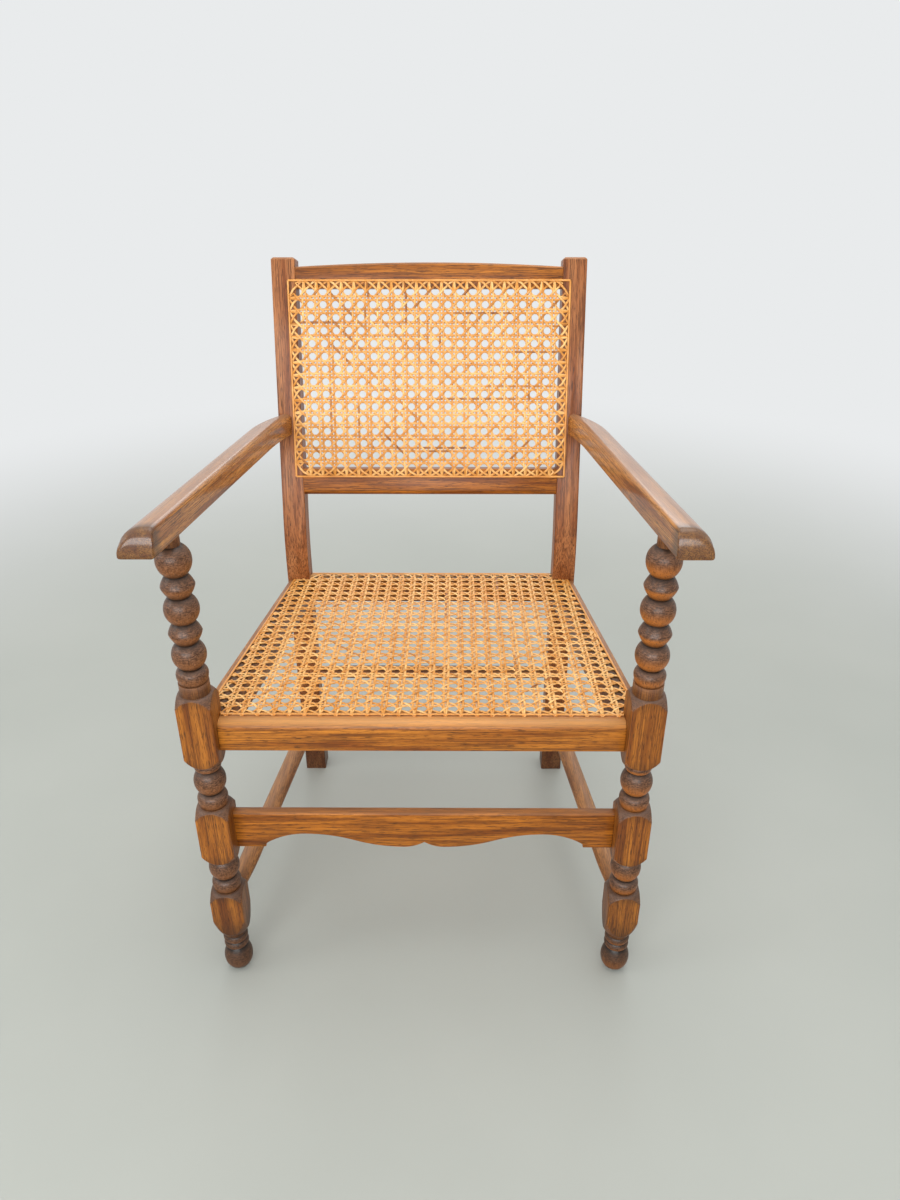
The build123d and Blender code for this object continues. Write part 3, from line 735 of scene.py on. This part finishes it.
def strip_tree():
    """Geometry nodes that lay a flat oval strip along each path, with its width level."""
    tree = bpy.data.node_groups.new("flat_strip_along_path", "GeometryNodeTree")
    for name, way, kind in (
        ("Geometry", "INPUT", "Geometry"),
        ("Width", "INPUT", "Float"),
        ("Thickness", "INPUT", "Float"),
        ("Material", "INPUT", "Material"),
        ("Geometry", "OUTPUT", "Geometry"),
    ):
        tree.interface.new_socket(name, in_out=way, socket_type=f"NodeSocket{kind}")
    given = add(tree, "NodeGroupInput").outputs
    path = add(tree, "GeometryNodeMeshToCurve", {"Mesh": given["Geometry"]})
    level = add(tree, "GeometryNodeSetCurveNormal", {"Curve": path.outputs[0]}, mode="Z_UP")
    oval = add(tree, "GeometryNodeCurvePrimitiveCircle", {"Resolution": 6, "Radius": 0.5})
    size = add(
        tree, "ShaderNodeCombineXYZ", {"X": given["Width"], "Y": given["Thickness"], "Z": 1.0}
    )
    section = add(
        tree, "GeometryNodeTransform", {"Geometry": oval.outputs[0], "Scale": size.outputs[0]}
    )
    swept = add(
        tree,
        "GeometryNodeCurveToMesh",
        {"Curve": level.outputs[0], "Profile Curve": section.outputs[0], "Fill Caps": True},
    )
    smooth = add(tree, "GeometryNodeSetShadeSmooth", {"Geometry": swept.outputs[0]})
    real = add(tree, "GeometryNodeRealizeInstances", {"Geometry": smooth.outputs[0]})
    finished = add(
        tree,
        "GeometryNodeSetMaterial",
        {"Geometry": real.outputs[0], "Material": given["Material"]},
    )
    add(tree, "NodeGroupOutput", {"Geometry": finished.outputs[0]})
    return tree


flat_strip = strip_tree()


def strip_mesh(name, paths, tones, width, thickness, material, plane):
    """Plain mesh of strips along paths that are drawn on a panel's plane."""
    carrier = bpy.data.objects.new(name + "_paths", path_mesh(name + "_paths", paths, tones))
    scene.collection.objects.link(carrier)
    modifier = carrier.modifiers.new("strips", "NODES")
    modifier.node_group = flat_strip
    sockets = flat_strip.interface.items_tree
    inputs = {item.name: item.identifier for item in sockets if item.in_out == "INPUT"}
    modifier[inputs["Width"]] = width * mm
    modifier[inputs["Thickness"]] = thickness * mm
    modifier[inputs["Material"]] = material
    shown = carrier.evaluated_get(bpy.context.evaluated_depsgraph_get())
    mesh = bpy.data.meshes.new_from_object(shown)
    carrier.modifiers.remove(modifier)
    bpy.data.objects.remove(carrier)
    mesh.name = name
    mesh.transform(plane)
    return mesh


# Split rattan: the glossy golden skin of the cane. Each strand is a little lighter or darker
# than the next, and blotched along its length.
blotch_size = 7.0


def split_cane(name, tones, roughness):
    """Cane that goes from a dark through a middle to a light tone."""
    material = bpy.data.materials.new(name)
    tree = bare_tree(material)
    place = add(tree, "ShaderNodeTexCoord").outputs["Object"]
    tone = add(tree, "ShaderNodeAttribute", attribute_name="tone").outputs["Fac"]
    blotch = add(
        tree,
        "ShaderNodeTexNoise",
        {"Vector": place, "Scale": 1 / (blotch_size * mm), "Detail": 3.0},
    ).outputs["Fac"]
    shift = add(tree, "ShaderNodeMath", {0: blotch, 1: 0.5}, operation="SUBTRACT").outputs[0]
    soft = add(
        tree, "ShaderNodeMath", {0: shift, 1: 0.6, 2: tone}, operation="MULTIPLY_ADD"
    ).outputs[0]
    dark, middle, light = [linear(code) for code in tones]
    colour = dark
    for low, high, over in ((0.05, 0.5, middle), (0.5, 0.95, light)):
        share = add(
            tree, "ShaderNodeMapRange", {"Value": soft, "From Min": low, "From Max": high}
        ).outputs[0]
        colour = add(
            tree, "ShaderNodeMix", {"Factor": share, 6: colour, 7: over}, data_type="RGBA"
        ).outputs[2]
    surface = add(
        tree,
        "ShaderNodeBsdfPrincipled",
        {
            "Base Color": colour,
            "Roughness": roughness,
            "Specular IOR Level": 0.4,
            "Coat Weight": 0.1,
        },
    )
    add(tree, "ShaderNodeOutputMaterial", {"Surface": surface.outputs[0]})
    return material


woven_cane = split_cane("split_rattan_woven", ("#84491a", "#d68f3c", "#fbcd86"), 0.45)
shade = random.Random(7)
strand_tone = (0.48, 0.82)
dark_length = (0.08, 0.3)  # share of a strand
dark_drop = (0.2, 0.5)  # how much darker than the rest of the strand
seat_dark_share = 0.06  # share of the strands with a dark length
back_dark_share = 0.35


def strand_tones(paths, dark_share):
    """A tone for each point of each strand. Some strands have a short darker length of bark."""
    tones = []
    for path in paths:
        tone = shade.uniform(*strand_tone)
        start = shade.random()
        end = start + shade.uniform(*dark_length)
        dark = tone - shade.uniform(*dark_drop) if shade.random() < dark_share else tone
        count = len(path)
        tones.append([dark if start < at / count < end else tone for at in range(count)])
    return tones


lift = Matrix.Translation((0, 0, weave_level * mm))


def woven_panel(name, node, strands, dark_share, plane):
    """Panel of cane on the plane of its frame."""
    tones = strand_tones(strands, dark_share)
    mesh = strip_mesh(
        name, strands, tones, strand_width, strand_thickness, woven_cane, plane @ lift
    )
    finish_piece(mesh, woven_cane, node)


# Seat panel
# Between lines of holes in the four rails, on the slope of the seat, with one pair of strands
# lengthwise for each hole in the front rail.
seat_slope = radians(4.7)
seat_height = 422.0
seat_pitch = 18.7
seat_column_count = 26
seat_row_count = 22
front_line = 18.0  # line of holes behind the front rail's face, in plan
post_gap = 1.5  # the last hole in the rear rail from the post
seat_plane = Matrix.Translation((0, seat_front, seat_height * mm))
seat_plane @= Matrix.Rotation(-seat_slope, 4, "X")
front_holes = front_line / cos(seat_slope)
rear_holes = rear_line / cos(seat_slope)
side_lean = side_fall * cos(seat_slope)
side_start = side_rail_front[0] - side_line - side_lean * side_rail_front[1] / cos(seat_slope)
seat_columns = [
    (count - (seat_column_count - 1) / 2) * seat_pitch for count in range(seat_column_count)
]
seat_border = border * seat_pitch
row_step = (rear_holes - front_holes - 2 * seat_border) / (seat_row_count - 1)
seat_levels = [front_holes + seat_border + count * row_step for count in range(seat_row_count)]
seat_edges = (
    (0.0, -1.0, -front_holes),
    (0.0, 1.0, rear_holes),
    (1.0, -side_lean, side_start),
    (-1.0, -side_lean, side_start),
)


def seat_side(level):
    """Line of holes in a side rail from the middle, at a level up the seat."""
    return side_start + side_lean * level


rear_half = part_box("rear_post_right")[0].x / mm - post_gap
seat_holes = [(place, front_holes) for place in seat_columns]
seat_holes += [(place, rear_holes) for place in seat_columns if abs(place) < rear_half]
seat_holes += [(end * seat_side(level), level) for level in seat_levels for end in (-1, 1)]
seat_strands = woven_strands(seat_columns, seat_levels, seat_edges, seat_holes)
woven_panel("woven_seat", "seat_cane", seat_strands, seat_dark_share, seat_plane)

# Back panel
# Between lines of holes in the posts and the two back rails, on the lean of the back.
# More of its strands have dark lengths than on the seat.
back_depth = 430.5  # front faces of the posts behind the front rail's face
bend_height = 450.0
back_side = 206.3  # lines of holes, from the middle and up the lean from the bend
back_low = 107.7
back_high = 393.9
back_pitch = 18.35
back_column_count = 21
back_row_count = 14
back_plane = Matrix.Translation((0, seat_front + back_depth * mm, bend_height * mm))
back_plane @= Matrix.Rotation(pi / 2 - back_rake, 4, "X")
back_columns = [
    (count - (back_column_count - 1) / 2) * back_pitch for count in range(back_column_count)
]
back_start = back_low + border * back_pitch
back_levels = [back_start + count * back_pitch for count in range(back_row_count)]
back_edges = (
    (0.0, -1.0, -back_low),
    (0.0, 1.0, back_high),
    (1.0, 0.0, back_side),
    (-1.0, 0.0, back_side),
)
back_holes = [(place, level) for place in back_columns for level in (back_low, back_high)]
back_holes += [(end * back_side, level) for level in back_levels for end in (-1, 1)]
back_strands = woven_strands(back_columns, back_levels, back_edges, back_holes)
woven_panel("woven_back", "back_cane", back_strands, back_dark_share, back_plane)

# Binder
# A flat strip of split rattan laid over each line of holes. On a real chair small loops of cane
# through the holes hold it down. They hardly show, and aren't modelled.
binder_width = 3.0
binder_thickness = 1.1
binder_level = 2.5
binder_steps = 24
binder_tone = (0.4, 0.7)
binder_cane = split_cane("split_rattan_binder", ("#a5601f", "#d68f3e", "#edb366"), 0.42)


def binder_piece(panel, edge, start, end, plane):
    """Strip along one edge of a panel."""
    path = []
    for step in range(binder_steps + 1):
        share = step / binder_steps
        across = start[0] + share * (end[0] - start[0])
        along = start[1] + share * (end[1] - start[1])
        path.append((across, along, binder_level))
    tones = [shade.uniform(*binder_tone) for point in path]
    mesh = strip_mesh(
        f"binder_{panel}_{edge}",
        [path],
        [tones],
        binder_width,
        binder_thickness,
        binder_cane,
        plane,
    )
    finish_piece(mesh, binder_cane, f"{panel}_binder_{edge}")


leg_gap = 1.0  # free ends of the strips from the legs and posts
rear_gap = 0.5
front_reach = 240.0
rear_reach = rear_half - rear_gap
low_end = side_rail_front[1] + leg_gap
high_end = side_rail_rear[1] - rear_gap
for edge, reach, level in (("front", front_reach, front_holes), ("rear", rear_reach, rear_holes)):
    binder_piece("seat", edge, (-reach, level), (reach, level), seat_plane)
for side, hand in hands.items():
    front_end = (hand * seat_side(low_end), low_end)
    rear_end = (hand * seat_side(high_end), high_end)
    binder_piece("seat", side, front_end, rear_end, seat_plane)
for edge, level in (("top", back_high), ("bottom", back_low)):
    binder_piece("back", edge, (-back_side, level), (back_side, level), back_plane)
for side, hand in hands.items():
    line = hand * back_side
    binder_piece("back", side, (line, back_low), (line, back_high), back_plane)

# Floor, light and camera
# A plain pale floor that fades into a plain backdrop, brighter behind the chair than in front
# of it, and soft light from large panels in front, left, above and behind, in metres and watts.
backdrop = linear("#e9ebec")
front_dim = linear("#abaeaf")
glow = Vector((0, 0.8, 0.6))  # direction that the backdrop is brightest in
half_floor = 20.0
floor_corners = [
    (across * half_floor, along * half_floor, 0)
    for across, along in ((-1, -1), (1, -1), (1, 1), (-1, 1))
]
floor_mesh = bpy.data.meshes.new("floor")
floor_mesh.from_pydata(floor_corners, [], [(0, 1, 2, 3)])
floor = bpy.data.objects.new("floor", floor_mesh)
scene.collection.objects.link(floor)


def backdrop_colour(tree, direction):
    """Backdrop's colour in a direction, dim in front of the chair and bright behind and above."""
    facing = add(
        tree, "ShaderNodeVectorMath", {0: direction, 1: glow}, operation="DOT_PRODUCT"
    ).outputs["Value"]
    share = add(
        tree, "ShaderNodeMapRange", {"Value": facing, "From Min": -0.8, "From Max": 0.5}
    ).outputs[0]
    return add(
        tree, "ShaderNodeMix", {"Factor": share, 6: front_dim, 7: backdrop}, data_type="RGBA"
    ).outputs[2]


# Painted floor: matt grey, faintly mottled, and lost in the backdrop's haze further off.
mottle_size = 0.4
haze_start = 0.85
haze_end = 2.6
floor_paint = bpy.data.materials.new("painted_floor_matt")
paint_tree = bare_tree(floor_paint)
floor_place = add(paint_tree, "ShaderNodeTexCoord").outputs["Object"]
mottle = add(
    paint_tree,
    "ShaderNodeTexNoise",
    {"Vector": floor_place, "Scale": 1 / mottle_size, "Detail": 3.0},
).outputs["Fac"]
floor_colour = add(
    paint_tree,
    "ShaderNodeMix",
    {"Factor": mottle, 6: linear("#9da099"), 7: linear("#a8aaa3")},
    data_type="RGBA",
).outputs[2]
floor_surface = add(
    paint_tree, "ShaderNodeBsdfPrincipled", {"Base Color": floor_colour, "Roughness": 0.6}
)
far_off = add(
    paint_tree, "ShaderNodeVectorMath", {0: floor_place}, operation="LENGTH"
).outputs["Value"]
outward = add(
    paint_tree, "ShaderNodeVectorMath", {0: floor_place}, operation="NORMALIZE"
).outputs["Vector"]
fade = add(
    paint_tree,
    "ShaderNodeMapRange",
    {"Value": far_off, "From Min": haze_start, "From Max": haze_end},
    interpolation_type="SMOOTHSTEP",
)
haze = add(paint_tree, "ShaderNodeEmission", {"Color": backdrop_colour(paint_tree, outward)})
faded = add(
    paint_tree,
    "ShaderNodeMixShader",
    {0: fade.outputs[0], 1: floor_surface.outputs[0], 2: haze.outputs[0]},
)
add(paint_tree, "ShaderNodeOutputMaterial", {"Surface": faded.outputs[0]})
floor_mesh.materials.append(floor_paint)

sky = bpy.data.worlds.new("studio")
sky_tree = bare_tree(sky)
sky_direction = add(sky_tree, "ShaderNodeTexCoord").outputs["Generated"]
sky_colour = backdrop_colour(sky_tree, sky_direction)
sky_light = add(sky_tree, "ShaderNodeBackground", {"Color": sky_colour})
add(sky_tree, "ShaderNodeOutputWorld", {"Surface": sky_light.outputs[0]})
scene.world = sky

chair_middle = Vector((0, 0, 0.4))
for name, place, width, height, power in (
    ("panel_front", Vector((-0.4, -2.8, 1.25)), 3.0, 0.9, 72.0),
    ("panel_left", Vector((-2.6, -0.8, 1.6)), 1.2, 1.2, 14.0),
    ("panel_top", Vector((0.3, -0.2, 3.2)), 2.4, 2.4, 36.0),
    ("panel_behind", Vector((0.2, 2.8, 2.2)), 2.4, 1.6, 24.0),
):
    panel = bpy.data.lights.new(name, "AREA")
    panel.shape = "RECTANGLE"
    panel.size = width
    panel.size_y = height
    panel.energy = power
    holder = bpy.data.objects.new(name, panel)
    holder.location = place
    holder.rotation_euler = (chair_middle - place).to_track_quat("-Z", "Y").to_euler()
    holder.visible_camera = False
    scene.collection.objects.link(holder)

# The camera was fitted to the photo, with its place measured from the front seat rail.
eye_across, eye_along, eye_height = 40.0, -853.4, 1060.6
eye = Vector((eye_across * mm, seat_front + eye_along * mm, eye_height * mm))
yaw, pitch, roll = -0.00730, 0.50524, -0.00164
forward = Vector((sin(yaw) * cos(pitch), cos(yaw) * cos(pitch), -sin(pitch)))
rightward = Vector((cos(yaw), -sin(yaw), 0))
upward = rightward.cross(forward)
tilted_right = cos(roll) * rightward + sin(roll) * upward
tilted_up = cos(roll) * upward - sin(roll) * rightward
camera = bpy.data.objects.new("camera", bpy.data.cameras.new("camera"))
camera.data.sensor_width = 36.0
camera.data.lens = 27.0
turned_axes = Matrix((tilted_right, tilted_up, -forward)).transposed()
camera.matrix_world = Matrix.Translation(eye) @ turned_axes.to_4x4()
scene.collection.objects.link(camera)
scene.camera = camera
scene.view_settings.view_transform = "Standard"
